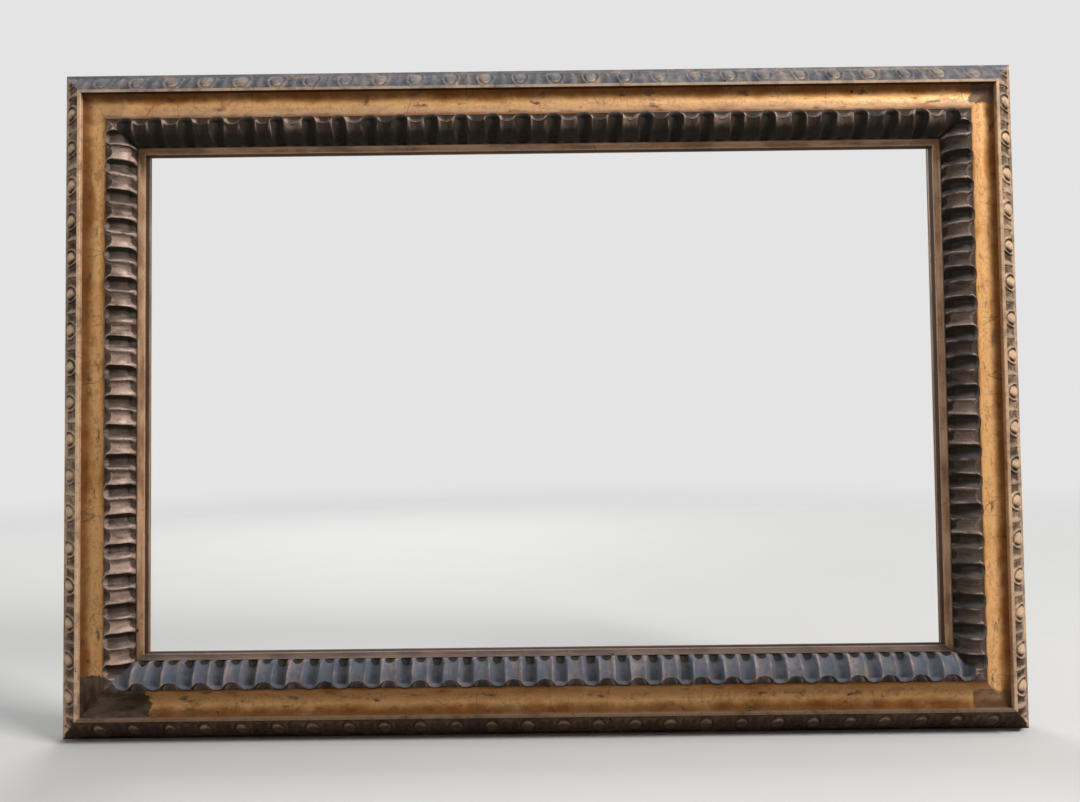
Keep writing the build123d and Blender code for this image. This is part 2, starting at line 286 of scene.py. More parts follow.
def carve_egg_and_dart(length, seed):
    """Carving of the outer moulding on a member of this length."""
    count = round((length - 2 * outer_inset) / egg_spacing)
    pitch = (length - 2 * outer_inset) / count
    roll = np.random.default_rng(seed)
    cells = count + 2 * spare_eggs + 1
    egg_size = roll.uniform(*egg_sizes, cells)
    egg_place = roll.uniform(-egg_drift, egg_drift, cells)
    runs = runs_along(outer_section)
    band_low = runs[band_first]
    reach = runs[band_last] - band_low
    middle = egg_middle * reach

    def carve(x, run, w):
        s = run - band_low
        in_band = smooth(s, 0.8, 2.2) * (1 - smooth(s, reach - 1.6, reach - 0.6))
        cell = np.clip(np.floor(x / pitch + count / 2).astype(int) + spare_eggs, 0, cells - 1)
        u = x - (cell - spare_eggs - count / 2 + 0.5) * pitch - egg_place[cell]
        half_height = egg_half_height * np.where(s < middle, 1.0, egg_blunting)
        radius = np.hypot(u / (egg_half_width * egg_size[cell]), (s - middle) / half_height)
        dome = np.sqrt(np.clip(1 - radius**2, 0, 1))
        egg = np.where(radius < 1, -ground_depth + egg_crown * dome**egg_fullness, -ground_depth)
        shell = np.exp(-(((radius - shell_gap) / shell_width) ** 2)) * smooth(s, 2, 6)
        apart = pitch / 2 - np.abs(u)
        stem_width = stem_half_width + stem_flare * smooth(s, 4, reach)
        stem = np.exp(-((apart / stem_width) ** 4)) * smooth(s, 5, 9)
        barb_side = apart - barb_gap + barb_slant * (reach - s)
        barb = np.exp(-((barb_side / barb_width) ** 2)) * smooth(s, reach - dart_reach, reach - barb_full)
        raised = np.maximum(np.maximum(shell, stem_height * stem), barb_height * barb)
        ground = -ground_depth + (ground_depth - shell_drop) * raised
        fresh = 1 - rubbed_low + rubbed_low * np.clip(grain_wave(x, 0, 260, seed + 9), -1, 1)
        uneven = gouge_marks * grain_wave(x, s, 19, seed + 5)
        height = in_band * (fresh * np.maximum(egg, ground) + uneven)
        hollow = np.clip(-height / ground_depth, 0, 1) * in_band
        wear_and_painted_light = in_band * np.clip(dome * 1.1, 0, 1) + 0.5 * (s > reach - 0.5)
        return height, 0, 0, hollow, wear_and_painted_light

    return carve


# Cove: a plain hollow that rises towards the gadroons

cove_outer_d = base_d + 26.0
cove_depth = 8.0
cove_middle = 0.45 * outer_inset + 0.55 * cove_inset
cove_painted_highlight = 9.0
cove_shade_outer = 19.0
cove_shade_inner = 12.0
cove_edge = 3.0
plane_marks = 0.22
scraper_marks = 0.08
cove_section = arc((outer_inset, cove_outer_d), (cove_inset, cove_lip), -cove_depth, 26)


def carve_cove(length, seed):
    """Hand-planed surface of the cove."""

    def carve(x, run, w):
        height = plane_marks * grain_wave(x, 3 * run, 160, seed)
        height = height + scraper_marks * grain_wave(x, run, 26, seed + 3)
        ease = smooth(w, outer_inset, outer_inset + cove_edge)
        ease = ease * (1 - smooth(w, cove_inset - cove_edge, cove_inset))
        # Darker along both edges as painted shade, where the outer ridge and the nose of the gadroons cast
        # shadows
        hollow = 1 - smooth(w, outer_inset, outer_inset + cove_shade_outer)
        hollow = hollow + smooth(w, cove_inset - cove_shade_inner, cove_inset)
        # A painted highlight along the middle of the cove, laid on through the mark of wear and painted light
        painted_highlight = np.exp(-(((w - cove_middle) / cove_painted_highlight) ** 2))
        wear_and_painted_light = 0.4 * grain_wave(x, run, 90, seed + 8) + 1.2 * painted_highlight
        return height * ease, 0, 0, hollow, wear_and_painted_light

    return carve


# Gadroons: deep, round-ended flutes and shallow, open flutes in turn

gadroon_nose = 6.5
gadroon_foot_d = base_d + 30.5
flute_spacing = 36.75
deep_share = 0.48
deep_depth = 6.2
deep_roundness = 2.2
shallow_depth = 2.8
shallow_roundness = 1.9
rim_width = 1.3
rim_height = 0.5
tongue_start = 1.6
tongue_round = 8.0
tongue_ramp = 8.0
tongue_shoulder = 3.4
scallop_depth = 9.0
scallop_reach = 17.0
arris_width = 2.2
foot_narrowing = 0.34
foot_taper = 8.0
foot_scoop = 0.3
foot_scoop_length = 9.0
foot_notch = 6.0
hand_depths = (0.8, 1.12)
carver_drift = 0.9
carver_lean = 1.4
tool_ripple = 0.16
spare_flutes = 6

crest_inset = cove_inset + gadroon_nose
foot_reach = gadroon_inset - crest_inset
foot_drop = gadroon_front - gadroon_foot_d
front_radius = (foot_reach**2 + foot_drop**2) / (2 * foot_drop)
front_end = 90 - math.degrees(math.atan2(foot_reach, front_radius - foot_drop))
nose_arc = turned_arc((crest_inset, gadroon_front - gadroon_nose), gadroon_nose, 180, 90, 8)
front_arc = turned_arc((crest_inset, gadroon_front - front_radius), front_radius, 90, front_end, 26)[1:]
gadroon_section = np.concatenate([
    [(cove_inset, base_d + 30), (cove_inset, cove_lip - 0.3), (cove_inset + 0.02, cove_lip - 0.2)],
    nose_arc,
    front_arc,
    [(gadroon_inset - 0.02, sight_front - 3), (gadroon_inset, sight_front - 4)],
])
nose_first = 3
foot_last = nose_first + len(nose_arc) + len(front_arc) - 1


def carve_gadroons(length, seed):
    """Carving of the gadrooned moulding on a member of this length."""
    crest_length = length - 2 * crest_inset
    count = round(crest_length / flute_spacing)
    pitch = crest_length / count
    roll = np.random.default_rng(seed)
    flutes = 2 * count + 2 * spare_flutes
    depth_by_hand = roll.uniform(*hand_depths, flutes)
    drift = roll.uniform(-carver_drift, carver_drift, flutes)
    lean = roll.uniform(-carver_lean, carver_lean, flutes)
    arris_place = (np.arange(flutes) - spare_flutes) * pitch / 2 - crest_length / 2
    runs = runs_along(gadroon_section)
    deep_half = deep_share * pitch / 2
    shallow_half = pitch / 2 - deep_half
    foot_run = runs[foot_last] - runs[nose_first]

    def carve(x, run, w):
        s = run - runs[nose_first]
        on_front = ((run >= runs[nose_first] - 0.01) & (run <= runs[foot_last] + 0.01)).astype(float)
        turn = (x + crest_length / 2) / pitch
        to_deep = (turn - np.floor(turn) - 0.5) * pitch
        to_shallow = (turn - np.round(turn)) * pitch
        is_deep = np.abs(to_deep) < deep_half
        flute = np.clip(np.round(2 * turn).astype(int) + spare_flutes, 0, flutes - 1)
        by_hand = depth_by_hand[flute]
        narrow = 1 - foot_narrowing * smooth(s, foot_run - foot_taper, foot_run)
        deep_u = np.clip(np.abs(to_deep) / deep_half / narrow, 0, 1)
        shallow_u = np.clip(np.abs(to_shallow) / shallow_half / narrow, 0, 1)
        tongue = tongue_start + tongue_round * (1 - np.sqrt(np.clip(1 - deep_u**2, 0, 1)))
        ramp = smooth(s, tongue, tongue + tongue_ramp)
        deep = deep_depth * (1 - deep_u**deep_roundness) * ramp
        rim = rim_height * np.exp(-(((s - tongue + rim_width) / rim_width) ** 2)) * is_deep
        shallow = shallow_depth * (1 - shallow_u**shallow_roundness) * (0.75 + 0.25 * smooth(s, 2, 12))
        ripple = tool_ripple * grain_wave(x * 2.2, s, 15, seed + 3)
        scoop = 1 + foot_scoop * smooth(s, foot_run - foot_scoop_length, foot_run)
        cut = np.where(is_deep, deep, shallow) * by_hand * scoop
        height = on_front * soften(rim - cut + ripple)
        between = tongue_shoulder + (scallop_depth - tongue_shoulder) * (1 - shallow_u**2)
        outline = np.where(is_deep, tongue_shoulder * deep_u**3, between)
        scallop = outline * (1 - smooth(s, 2, scallop_reach)) * on_front
        slide = np.interp(x, arris_place, drift) + np.interp(x, arris_place, lean) * (s / 20 - 1)
        # Grime in the deep flutes, and darker at the feet of the flutes
        sunk = np.clip(cut / deep_depth, 0, 1)
        across_flute = np.where(is_deep, deep_u, shallow_u)
        notch = smooth(s, foot_run - foot_notch * (1 - across_flute**2), foot_run + 0.5)
        caught_grime_and_shade = np.maximum(0.75 * sunk, 1.5 * notch)
        # The gaps between the tongues and the walls off the front are darkened as painted shadow
        gap = smooth(scallop, tongue_shoulder, scallop_depth - 1)
        off_front = np.where(s < 0, 0.85, 1.4)
        hollow = np.where(on_front > 0, np.maximum(caught_grime_and_shade, 0.65 * gap), off_front)
        edge = np.minimum(np.abs(np.abs(to_deep) - deep_half), 9)
        patchy = np.clip(0.6 + 0.7 * grain_wave(x, s, 34, seed + 7), 0, 1.1)
        arris = np.exp(-((edge / arris_width) ** 2)) * patchy
        tip = 1 - smooth(s, 4, 11)
        # Painted shade darkens the deep flutes and a painted highlight lightens the shallow ones
        flute_painted_shade = np.where(is_deep, -0.6, 0.3)
        wear_and_painted_light = 1.1 * arris + 0.5 * tip + 2.5 * (by_hand - 0.96) + flute_painted_shade
        return height, scallop, slide * on_front, hollow, wear_and_painted_light * on_front

    return carve


# Sight edge: a steep hollow and a small bead beside the opening

sight_bead = 1.6
sight_hollow = 1.2
sight_bead_d = base_d + 15.0
sight_uneven = 0.12
sight_section = np.concatenate([
    [(gadroon_inset, sight_front - 4)],
    arc((gadroon_inset, sight_front), (sight_inset - sight_bead, sight_bead_d), -sight_hollow, 14),
    turned_arc((sight_inset - sight_bead, sight_bead_d - sight_bead), sight_bead, 90, 0, 6)[1:],
    [(sight_inset, sight_bead_d - sight_bead - 1.5), (sight_inset, base_d + 6)],
])
sight_wall_run = runs_along(sight_section[:-2])[-1]


def carve_sight(length, seed):
    """Slightly uneven surface of the sight edge."""

    def carve(x, run, w):
        inside = smooth(w, gadroon_inset, gadroon_inset + 0.8)
        inside = inside * (1 - smooth(w, sight_inset - 0.4, sight_inset))
        height = -sight_uneven * inside * (1 + grain_wave(x, run, 70, seed))
        # Darker on the face beside the gadroons' feet and on the inner wall
        inner_wall = smooth(run, sight_wall_run, sight_wall_run + 1)
        hollow = 0.8 * (1 - smooth(run, 4, 8)) + 1.6 * inner_wall
        wear_and_painted_light = smooth(run, 14, 18) - inner_wall
        return height, 0, 0, hollow, wear_and_painted_light

    return carve


# Shader helpers


def feed(tree, sockets, values):
    """Give sockets their values, or link them from other sockets."""
    for key, value in values.items():
        if isinstance(value, bpy.types.NodeSocket):
            tree.links.new(value, sockets[key])
        else:
            sockets[key].default_value = value


def wire(tree, sockets, **values):
    """Feed sockets whose names have underscores here for their spaces."""
    feed(tree, sockets, {key.replace("_", " "): value for key, value in values.items()})


def add_node(tree, kind, inputs=None, **settings):
    """New shader node with its settings, and its inputs given as values or linked from sockets."""
    node = tree.nodes.new("ShaderNode" + kind)
    for key, value in settings.items():
        setattr(node, key, value)
    feed(tree, node.inputs, inputs or {})
    return node


def calc(tree, operation, *values, clamp=False):
    """Result of a Math node."""
    return add_node(tree, "Math", dict(enumerate(values)), operation=operation, use_clamp=clamp).outputs[0]


def times(tree, value, scale, clamp=False):
    """Value times a scale."""
    return calc(tree, "MULTIPLY", value, scale, clamp=clamp)


def times_plus(tree, value, scale, base):
    """Value times a scale, added to a base."""
    return calc(tree, "MULTIPLY_ADD", value, scale, base)


def mingle(tree, one, other, share):
    """Two values added, the first by its share and the second by the rest."""
    return times_plus(tree, one, share, times(tree, other, 1.0 - share))


def blend_colours(tree, factor, first, second):
    """Second colour laid over the first by a factor."""
    return add_node(tree, "Mix", {0: factor, 6: first, 7: second}, data_type="RGBA").outputs[2]


def remap(tree, value, low, high, to_low=0.0, to_high=1.0):
    """Value eased from one range into another and held at its ends."""
    inputs = {0: value, 1: low, 2: high, 3: to_low, 4: to_high}
    return add_node(tree, "MapRange", inputs, interpolation_type="SMOOTHSTEP").outputs[0]


def place_on(tree):
    """Point on the frame, in metres."""
    return add_node(tree, "TexCoord").outputs["Object"]


def noise(tree, place, scale, detail=3.0, roughness=0.55):
    """Noise between 0 and 1 at so many lumps to the metre."""
    inputs = {"Vector": place, "Scale": scale, "Detail": detail, "Roughness": roughness}
    return add_node(tree, "TexNoise", inputs).outputs["Fac"]


def colour(red, green, blue):
    """Linear colour from the values that a picture shows, 0 to 255."""
    shown = [value / 255 for value in (red, green, blue)]
    return (*[v / 12.92 if v <= 0.04045 else ((v + 0.055) / 1.055) ** 2.4 for v in shown], 1.0)


def new_group(name, inputs, outputs):
    """Empty shader node group with sockets of the given kinds, and its inner ends."""
    group = bpy.data.node_groups.new(name, "ShaderNodeTree")
    for way, sockets in (("INPUT", inputs), ("OUTPUT", outputs)):
        for key, kind in sockets.items():
            group.interface.new_socket(key.replace("_", " "), in_out=way, socket_type="NodeSocket" + kind)
    return group, group.nodes.new("NodeGroupInput").outputs, group.nodes.new("NodeGroupOutput").inputs


def use_group(tree, group, **values):
    """Outputs of a group placed in a material, with its own values."""
    node = add_node(tree, "Group", node_tree=group)
    wire(tree, node.inputs, **values)
    return node.outputs


def new_material(name):
    """Material with a Principled shader, its tree and that shader's sockets."""
    material = bpy.data.materials.new(name)
    material.use_nodes = True
    tree = material.node_tree
    return material, tree, tree.nodes["Principled BSDF"].inputs


def mark(tree, name):
    """Per-point mark that the carving left on the mesh."""
    return add_node(tree, "Attribute", attribute_name=name).outputs["Fac"]


def stick_place(tree, along_scale, across_scale):
    """Point on a member's own surface, stretched along or across it, for streaks that follow the tool."""
    along = times(tree, mark(tree, "along"), along_scale)
    across = times(tree, mark(tree, "across"), across_scale)
    return add_node(tree, "CombineXYZ", {0: along, 1: across}).outputs[0]


def bump(tree, height, strength, distance):
    """Normal from a height in the given distance, in millimetres."""
    inputs = {"Height": height, "Strength": strength, "Distance": distance * MM}
    return add_node(tree, "Bump", inputs).outputs[0]


# Effects shared by the finishes


def make_rubbed_leaf():
    """Gold leaf that varies in tone and is rubbed through to the red bole below."""
    group, start, end = new_group(
        "rubbed_leaf",
        dict(Place="Vector", Leaf="Color", Deep_Leaf="Color", Bole="Color", Rub="Float", Worn="Float"),
        dict(Color="Color", Bare="Float", Height="Float"),
    )
    wear_and_painted_light_paler = 0.12
    wear_and_painted_light_thinner = 0.07
    place = place_on(group)
    cloud = noise(group, place, 16.0, 4.0)
    streak = noise(group, start["Place"], 60.0, 6.0, 0.65)
    fine = noise(group, place, 260.0, 5.0, 0.7)
    # Leaf paler, and more often rubbed through, where the mark of wear and painted light is high
    shade = times_plus(group, start["Worn"], wear_and_painted_light_paler, mingle(group, cloud, streak, 0.5))
    tone = blend_colours(group, remap(group, shade, 0.4, 0.62), start["Deep Leaf"], start["Leaf"])
    speck = times_plus(group, start["Worn"], wear_and_painted_light_thinner, mingle(group, fine, streak, 0.55))
    bare = times(group, remap(group, speck, 0.55, 0.68), start["Rub"], clamp=True)
    ridged = times_plus(group, fine, 0.5, streak)
    height = calc(group, "SUBTRACT", ridged, times(group, bare, 0.4))
    wire(group, end, Color=blend_colours(group, bare, tone, start["Bole"]), Bare=bare, Height=height)
    return group


def make_grime_dust_and_shade():
    """Grime and painted shade in hollows, on faces that look down and as a layer, and dust on faces that look
    up.
    """
    group, start, end = new_group(
        "grime_dust_and_shade",
        dict(
            Color="Color", Grime="Color", Dust="Color", Hollow="Float", Worn="Float", Grime_Amount="Float",
            Film="Float", Dust_Amount="Float", Dust_From="Float", Wipe="Float", Under_Amount="Float",
        ),
        dict(Color="Color", Grimy="Float"),
    )
    patch = noise(group, place_on(group), 55.0, 6.0, 0.68)
    settle = times_plus(group, calc(group, "SUBTRACT", patch, 0.5), 0.9, start["Hollow"])
    caught_grime_and_shade = times(group, remap(group, settle, 0.1, 1.1), start["Grime Amount"])
    normal = add_node(group, "NewGeometry").outputs["Normal"]
    upward = add_node(group, "SeparateXYZ", {0: normal}).outputs["Z"]
    # Faces that look down are darkened as painted shade
    underside_shade = times(group, remap(group, upward, 0.1, -0.6), start["Under Amount"])
    rubbed = remap(group, start["Worn"], 0.3, 1.1)
    # A layer of painted shade over the whole member, thinner where rubbed
    shaded = calc(group, "SUBTRACT", 1.0, times(group, rubbed, 0.75))
    shade_layer = times(group, shaded, start["Film"])
    grime_and_shade = calc(group, "MAXIMUM", calc(group, "MAXIMUM", caught_grime_and_shade, underside_shade), shade_layer, clamp=True)
    soiled_and_shaded = blend_colours(group, grime_and_shade, start["Color"], start["Grime"])
    facing = remap(group, upward, start["Dust From"], calc(group, "ADD", start["Dust From"], 0.5))
    powder = times(group, facing, remap(group, patch, 0.36, 0.62, 0.74, 1.0))
    dusty = times(group, powder, start["Dust Amount"], clamp=True)
    kept = calc(group, "SUBTRACT", 1.0, times(group, rubbed, start["Wipe"]))
    kept = times(group, kept, remap(group, caught_grime_and_shade, 0.75, 0.95, 1.0, 0.1))
    laid = times(group, dusty, kept)
    # Dust in the hollows darkened towards the grime colour, as painted shade
    dust_shade = remap(group, caught_grime_and_shade, 0.15, 0.85, 0.0, 0.7)
    shaded_dust = blend_colours(group, dust_shade, start["Dust"], start["Grime"])
    tint = blend_colours(group, laid, soiled_and_shaded, shaded_dust)
    wire(group, end, Color=tint, Grimy=calc(group, "MAXIMUM", grime_and_shade, laid))
    return group


def make_worm_holes():
    """Scattered dark pinholes and fly specks."""
    sockets = dict(Scale="Float", Share="Float")
    group, start, end = new_group("worm_holes", sockets, dict(Dark="Float", Height="Float"))
    place = place_on(group)
    bent = noise(group, place, 90.0, 2.0)
    cell = add_node(group, "TexVoronoi", {"Vector": place, "Scale": start["Scale"]}).outputs
    pick = add_node(group, "SeparateColor", {0: cell["Color"]}).outputs
    size = times(group, calc(group, "LESS_THAN", pick[0], start["Share"]), pick[1])
    reach = times_plus(group, size, 0.12, times(group, bent, 0.04))
    hole = remap(group, calc(group, "SUBTRACT", reach, cell["Distance"]), 0.0, 0.03)
    hole = times(group, hole, calc(group, "GREATER_THAN", size, 0.02))
    wire(group, end, Dark=hole, Height=times(group, hole, -1.0))
    return group


def make_gesso_cracks():
    """Fine cracks across a member, where the gesso has shrunk."""
    sockets = dict(Scale="Float", Place="Vector")
    group, start, end = new_group("gesso_cracks", sockets, dict(Dark="Float", Height="Float"))
    place = place_on(group)
    bend = calc(group, "SUBTRACT", noise(group, place, 45.0), 0.5)
    shove = add_node(group, "CombineXYZ", {0: times(group, bend, 0.016)}).outputs[0]
    bent = add_node(group, "VectorMath", {0: start["Place"], 1: shove}, operation="ADD").outputs[0]
    inputs = {"Vector": bent, "Scale": start["Scale"]}
    cell = add_node(group, "TexVoronoi", inputs, feature="DISTANCE_TO_EDGE", voronoi_dimensions="2D")
    line = remap(group, cell.outputs["Distance"], 0.0, 0.022, 1.0, 0.0)
    crack = times(group, line, remap(group, noise(group, place, 24.0, 4.0), 0.46, 0.62))
    wire(group, end, Dark=crack, Height=times(group, crack, -1.0))
    return group


rubbed_leaf = make_rubbed_leaf()
grime_dust_and_shade = make_grime_dust_and_shade()
worm_holes = make_worm_holes()
gesso_cracks = make_gesso_cracks()

bole = colour(122, 66, 52)
# Colours of grime, which also serve as the colours of the painted shade
umber = colour(36, 20, 11)
olive_grime_and_shade_tone = colour(32, 27, 20)
cove_brown_and_shade = colour(102, 58, 23)
grey_dust = colour(64, 70, 80)
# Bluish dusts; their blue stands partly for painted cool light from above
pale_dust_and_sky_light = colour(78, 83, 90)
blue_dust_and_sky_light = colour(75, 81, 92)
pinhole = colour(20, 13, 9)
wash_thick = colour(30, 21, 15)
thin_wash_and_sheen = colour(86, 76, 70)

pinhole_share = 0.16
pinhole_depth = 3.0
crack_scale = 36.0
crack_stretch = (1.0, 0.16)
grime_and_shade_metal = 0.05
grime_and_shade_dulling = 0.28
low_specular = 0.1

# Each gilding: its colours, how its streaks are drawn along and across the member, its wear,
# and how much painted shade darkens the faces that look down
gildings = {
    # Greyed gilding of the carved band, bright on the eggs
    "outer": dict(
        leaf=colour(206, 172, 138), deep_leaf=colour(130, 108, 90), grime_and_shade_tone=umber, dust_and_sky_tint=pale_dust_and_sky_light,
        stretch=(1.5, 1.5), rub=0.45, wipe=0.05, underside_shade=0.95, gloss=0.45, metal=0.15, holes=65.0, crazed=0.3,
    ),
    # Ochre gold of the hollow
    "cove": dict(
        leaf=colour(214, 166, 110), deep_leaf=colour(166, 111, 56), grime_and_shade_tone=cove_brown_and_shade, dust_and_sky_tint=grey_dust,
        stretch=(0.5, 1.0), rub=0.42, wipe=0.2, underside_shade=0.55, gloss=0.47, metal=0.3, holes=36.0, crazed=0.5,
    ),
    # Dark bronzed flutes with paler leaf left on their arrises, streaked down the flutes
    "gadroon": dict(
        leaf=colour(166, 142, 127), deep_leaf=colour(84, 68, 58), grime_and_shade_tone=olive_grime_and_shade_tone, dust_and_sky_tint=blue_dust_and_sky_light,
        stretch=(3.6, 0.8), rub=0.6, wipe=0.35, underside_shade=0.97, gloss=0.42, metal=0.15, holes=45.0, crazed=0.3,
    ),
    # Tan gold of the sight edge
    "sight": dict(
        leaf=colour(176, 142, 112), deep_leaf=colour(126, 94, 70), grime_and_shade_tone=umber, dust_and_sky_tint=grey_dust,
        stretch=(0.4, 1.5), rub=0.45, wipe=0.2, underside_shade=0.1, gloss=0.45, metal=0.3, holes=50.0, crazed=0.4,
    ),
}


def gilding(
    name, soiling_and_shade, leaf, deep_leaf, grime_and_shade_tone, dust_and_sky_tint, stretch, rub, wipe, underside_shade, gloss, metal, holes, crazed
):
    """Old gilding: leaf over bole, grime and painted shade in the hollows, dust above, pinholes and cracks.
    """
    dust, dust_from, grime, shade_layer = soiling_and_shade
    material, tree, shader = new_material(name)
    wear_and_painted_light = mark(tree, "wear_and_painted_light")
    gold = use_group(
        tree, rubbed_leaf, Place=stick_place(tree, *stretch), Leaf=leaf, Deep_Leaf=deep_leaf, Bole=bole,
        Rub=rub, Worn=wear_and_painted_light,
    )
    soiled_and_shaded = use_group(
        tree, grime_dust_and_shade, Color=gold["Color"], Grime=grime_and_shade_tone, Dust=dust_and_sky_tint, Hollow=mark(tree, "hollow"),
        Worn=wear_and_painted_light, Grime_Amount=grime, Film=shade_layer, Dust_Amount=dust, Dust_From=dust_from, Wipe=wipe,
        Under_Amount=underside_shade,
    )
    worm = use_group(tree, worm_holes, Scale=holes, Share=pinhole_share)
    cracks = use_group(tree, gesso_cracks, Scale=crack_scale, Place=stick_place(tree, *crack_stretch))
    flaw = calc(tree, "MAXIMUM", worm["Dark"], times(tree, cracks["Dark"], crazed))
    covered = calc(tree, "MAXIMUM", gold["Bare"], soiled_and_shaded["Grimy"])
    height = times_plus(tree, worm["Height"], pinhole_depth, gold["Height"])
    height = times_plus(tree, cracks["Height"], crazed, height)
    wire(
        tree, shader,
        Base_Color=blend_colours(tree, flaw, soiled_and_shaded["Color"], pinhole),
        Metallic=remap(tree, covered, 0.0, 1.0, metal, grime_and_shade_metal),
        Roughness=remap(tree, covered, 0.0, 1.0, gloss, gloss + grime_and_shade_dulling),
        Specular_IOR_Level=low_specular,
        Normal=bump(tree, height, 0.6, 0.4),
    )
    return material, tree, shader


# Corners of the cove that were painted over: sign and edge across, sign and edge up, and how fully
painted_corners = (
    (-1, 480.0, -1, 84.0, 0.93),
    (1, 520.0, -1, 54.0, 0.7),
    (1, 536.0, 1, 776.0, 0.8),
    (-1, 515.0, 1, 762.0, 0.25),
)
ragged_edge = 15.0
soft_edge = 1.0
smudge_cover = 0.8
wash_rough = 0.8


def paint_over(tree, shader):
    """Smudges on the cove, and its corners painted over in umber."""
    place = place_on(tree)
    streaks = stick_place(tree, 0.45, 1.0)
    brushed = noise(tree, streaks, 110.0, 2.0)
    ragged = times_plus(tree, noise(tree, place, 60.0, 2.0), 0.5, brushed)
    ragged = calc(tree, "SUBTRACT", ragged, 0.75)
    axes = add_node(tree, "SeparateXYZ", {0: place}).outputs
    across = times_plus(tree, ragged, ragged_edge * MM, axes["X"])
    up = times_plus(tree, ragged, ragged_edge * MM, axes["Z"])
    smudge = remap(tree, noise(tree, streaks, 75.0, 6.0, 0.7), 0.55, 0.67)
    cover = times(tree, smudge, smudge_cover)
    for x_sign, x_edge, z_sign, z_edge, fully in painted_corners:
        painted = fully
        for value, sign, edge in ((across, x_sign, x_edge), (up, z_sign, z_sign * z_edge)):
            past = times(tree, value, sign)
            inside = remap(tree, past, (edge - soft_edge) * MM, (edge + soft_edge) * MM)
            painted = times(tree, inside, painted)
        cover = calc(tree, "MAXIMUM", cover, painted)
    # Lighter streaks along the member in the wash: thin brushwork, and partly a painted sheen
    brushwork_and_sheen = remap(tree, noise(tree, streaks, 60.0, 4.0), 0.36, 0.66)
    wash = blend_colours(tree, brushwork_and_sheen, wash_thick, thin_wash_and_sheen)
    bare = calc(tree, "SUBTRACT", 1.0, cover)
    tint, shine, rough = (shader[key].links[0].from_socket for key in ("Base Color", "Metallic", "Roughness"))
    wire(
        tree, shader,
        Base_Color=blend_colours(tree, cover, tint, wash),
        Metallic=times(tree, shine, bare),
        Roughness=calc(tree, "MAXIMUM", rough, times(tree, cover, wash_rough)),
    )


def make_finish(kind, name, soiling_and_shade):
    """Gilding of one kind of moulding, with its own grime, dust and painted shade."""
    material, tree, shader = gilding(name, soiling_and_shade, **gildings[kind])
    if kind == "cove":
        paint_over(tree, shader)
    return material


# Dirt and painted shade of each moulding: dust and the slope where it starts,
# grime and painted shade in the marked hollows, and a layer of painted shade over the whole member
usual_soiling_and_shade = {
    "outer": (0.25, 0.0, 0.95, 0.0),
    "cove": (0.05, 0.0, 0.9, 0.0),
    "gadroon": (0.2, 0.0, 0.82, 0.0),
    "sight": (0.1, 0.0, 0.9, 0.0),
}
# The layer of painted shade darkens the members that face away from the light
member_soiling_and_shade = {
    # Dusted over its front too; the dust's blue stands partly for painted cool light from above
    "outer_top": (1.0, -0.2, 0.6, 0.0),
    "outer_right": (0.25, 0.0, 0.95, 0.17),
    "outer_bottom": (0.0, 0.0, 0.95, 0.87),
    "cove_top": (0.6, 0.0, 0.9, 0.08),
    "gadroon_top": (0.2, 0.0, 0.95, 0.93),
    "gadroon_right": (0.2, 0.0, 0.95, 0.82),
    # Dusted over its front too; the dust's blue stands partly for painted cool light from above
    "gadroon_bottom": (1.0, -0.35, 1.0, 0.0),
    "sight_top": (0.1, 0.0, 0.9, 0.15),
    "sight_bottom": (0.45, -0.2, 1.0, 0.6),
}

# Each moulding: its slot, its section, the spacing of its stations and its carving
mouldings = {
    "outer": ("carved_band", outer_section, 1.0, carve_egg_and_dart),
    "cove": ("cove_gilding", cove_section, 3.0, carve_cove),
    "gadroon": ("gadroon_gilding", gadroon_section, 1.15, carve_gadroons),
    "sight": ("sight_gilding", sight_section, 6.0, carve_sight),
}
for kind, (slot, section, spacing, carving) in mouldings.items():
    usual_finish = make_finish(kind, f"{kind}_gilding", usual_soiling_and_shade[kind])
    for order, (side, (length, *_)) in enumerate(sides.items()):
        soiling_and_shade = member_soiling_and_shade.get(f"{kind}_{side}")
        finish = make_finish(kind, f"{kind}_gilding_{side}", soiling_and_shade) if soiling_and_shade else usual_finish
        piece = member(f"{kind}_{side}_carved", side, section, spacing, carving(length, 10 * order + 3))
        piece.data.materials.append(finish)
        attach(piece, "frame")
        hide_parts(f"{kind}_moulding_{side}")


# Raw wood and metal of the back


def make_sawn_grain():
    """Old sawn wood: grain along the first axis of its place, saw marks across it, and stains."""
    sockets = dict(Place="Vector", Pale="Color", Dark="Color")
    group, start, end = new_group("sawn_grain", sockets, dict(Color="Color", Height="Float"))
    stretched = {0: start["Place"], 1: (0.05, 1.0, 1.0)}
    drawn_out = add_node(group, "VectorMath", stretched, operation="MULTIPLY").outputs[0]
    fibre = noise(group, drawn_out, 420.0, 5.0, 0.6)
    figure = noise(group, drawn_out, 70.0, 4.0, 0.5)
    stain = noise(group, start["Place"], 9.0, 5.0, 0.6)
    strokes = {"Vector": start["Place"], "Scale": 90.0, "Distortion": 3.0, "Detail Scale": 0.4}
    saw = add_node(group, "TexWave", strokes).outputs["Fac"]
    shade = mingle(group, fibre, figure, 0.45)
    shade = times_plus(group, calc(group, "SUBTRACT", stain, 0.5), 0.5, shade)
    shade = times_plus(group, saw, 0.05, shade)
    tint = blend_colours(group, remap(group, shade, 0.36, 0.66), start["Dark"], start["Pale"])
    wire(group, end, Color=tint, Height=times_plus(group, saw, 0.35, fibre))
    return group


